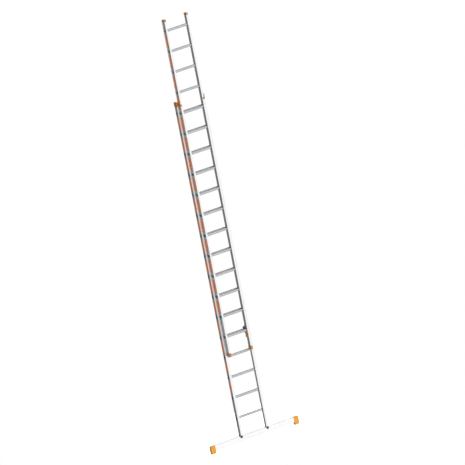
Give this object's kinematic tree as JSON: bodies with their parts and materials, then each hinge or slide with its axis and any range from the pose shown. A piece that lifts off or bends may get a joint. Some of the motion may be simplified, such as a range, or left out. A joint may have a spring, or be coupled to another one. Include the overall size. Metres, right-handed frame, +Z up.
{
  "type": "extension ladder",
  "caption": "Two-part push-up extension ladder: a narrower fly slides up the base on guide lips, hooks hold it on a rung, and a wide crossbar with end caps steadies the foot.",
  "frame": {"origin": "on the ground plane under the ladder, centred between its sides and midway between the front face of the fly and the rear face of the base", "axes": "+Z runs up along the stiles, +X along the rungs to the climber's right, -Y faces the climber and +Y the wall"},
  "size_m": [1.358, 0.115, 5.827],
  "materials": {
    "stile_aluminium": "mill finish, fine drawn lines along the extrusion",
    "rung_aluminium": "mill finish, ribbed",
    "crossbar_aluminium": "mill finish",
    "guide_plastic": "fine moulded grain",
    "end_cap_plastic": "fine moulded grain",
    "cap_plastic": "fine moulded grain",
    "catch_plastic": "smooth moulded",
    "shoe_plastic": "fine moulded grain",
    "hook_steel": "dark powder coat",
    "plate_steel": "zinc plated sheet",
    "zinc_steel": "bright zinc plate",
    "spring_steel": "drawn wire",
    "rivet_aluminium": "bright"
  },
  "bodies": {
    "base": {"base_rivets": "rivet_aluminium", "base_rung_01": "rung_aluminium", "base_rung_02": "rung_aluminium", "base_rung_03": "rung_aluminium", "base_rung_04": "rung_aluminium", "base_rung_05": "rung_aluminium", "base_rung_06": "rung_aluminium", "base_rung_07": "rung_aluminium", "base_rung_08": "rung_aluminium", "base_rung_09": "rung_aluminium", "base_rung_10": "rung_aluminium", "base_rung_11": "rung_aluminium", "base_rung_12": "rung_aluminium", "base_rung_13": "rung_aluminium", "base_rung_14": "rung_aluminium", "base_rung_15": "rung_aluminium", "base_rung_16": "rung_aluminium", "base_shoe_left": "shoe_plastic", "base_shoe_right": "shoe_plastic", "base_stile_left": "stile_aluminium", "base_stile_right": "stile_aluminium", "base_top_guide_left": "guide_plastic", "base_top_guide_right": "guide_plastic", "crossbar": "crossbar_aluminium", "crossbar_bolts": "zinc_steel", "crossbar_end_cap_left": "end_cap_plastic", "crossbar_end_cap_right": "end_cap_plastic", "crossbar_nuts": "zinc_steel", "crossbar_washers": "zinc_steel"},
    "fly": {"catch_springs": "spring_steel", "fly_foot_guide_left": "guide_plastic", "fly_foot_guide_right": "guide_plastic", "fly_rivets": "rivet_aluminium", "fly_rung_01": "rung_aluminium", "fly_rung_02": "rung_aluminium", "fly_rung_03": "rung_aluminium", "fly_rung_04": "rung_aluminium", "fly_rung_05": "rung_aluminium", "fly_rung_06": "rung_aluminium", "fly_rung_07": "rung_aluminium", "fly_rung_08": "rung_aluminium", "fly_rung_09": "rung_aluminium", "fly_rung_10": "rung_aluminium", "fly_rung_11": "rung_aluminium", "fly_rung_12": "rung_aluminium", "fly_rung_13": "rung_aluminium", "fly_rung_14": "rung_aluminium", "fly_rung_15": "rung_aluminium", "fly_rung_16": "rung_aluminium", "fly_stile_left": "stile_aluminium", "fly_stile_right": "stile_aluminium", "fly_top_cap_left": "cap_plastic", "fly_top_cap_right": "cap_plastic", "latch_pins": "zinc_steel", "latch_plate_left": "plate_steel", "latch_plate_right": "plate_steel"},
    "hook_left": {"rung_hook_left": "hook_steel"},
    "hook_right": {"rung_hook_right": "hook_steel"},
    "catch_left": {"safety_catch_left": "catch_plastic"},
    "catch_right": {"safety_catch_right": "catch_plastic"}
  },
  "joints": [
    {"name": "fly_slide", "type": "slide", "parent": "base", "child": "fly", "axis": [0, 0, 1], "range_m": [-1.12, 2.24]},
    {"name": "hook_left_pivot", "type": "hinge", "parent": "fly", "child": "hook_left", "pos_m": [-0.1476, -0.014, 1.522], "axis": [1, 0, 0], "range_deg": [0, 130]},
    {"name": "hook_right_pivot", "type": "hinge", "parent": "fly", "child": "hook_right", "pos_m": [0.1476, -0.014, 1.522], "axis": [1, 0, 0], "range_deg": [0, 130]},
    {"name": "catch_left_pivot", "type": "hinge", "parent": "fly", "child": "catch_left", "pos_m": [-0.1466, -0.008, 1.386], "axis": [1, 0, 0], "range_deg": [0, 30], "stiffness_Nm_per_rad": 0.25, "springref_deg": -20.05},
    {"name": "catch_right_pivot", "type": "hinge", "parent": "fly", "child": "catch_right", "pos_m": [0.1466, -0.008, 1.386], "axis": [1, 0, 0], "range_deg": [0, 30], "stiffness_Nm_per_rad": 0.25, "springref_deg": -20.05}
  ]
}
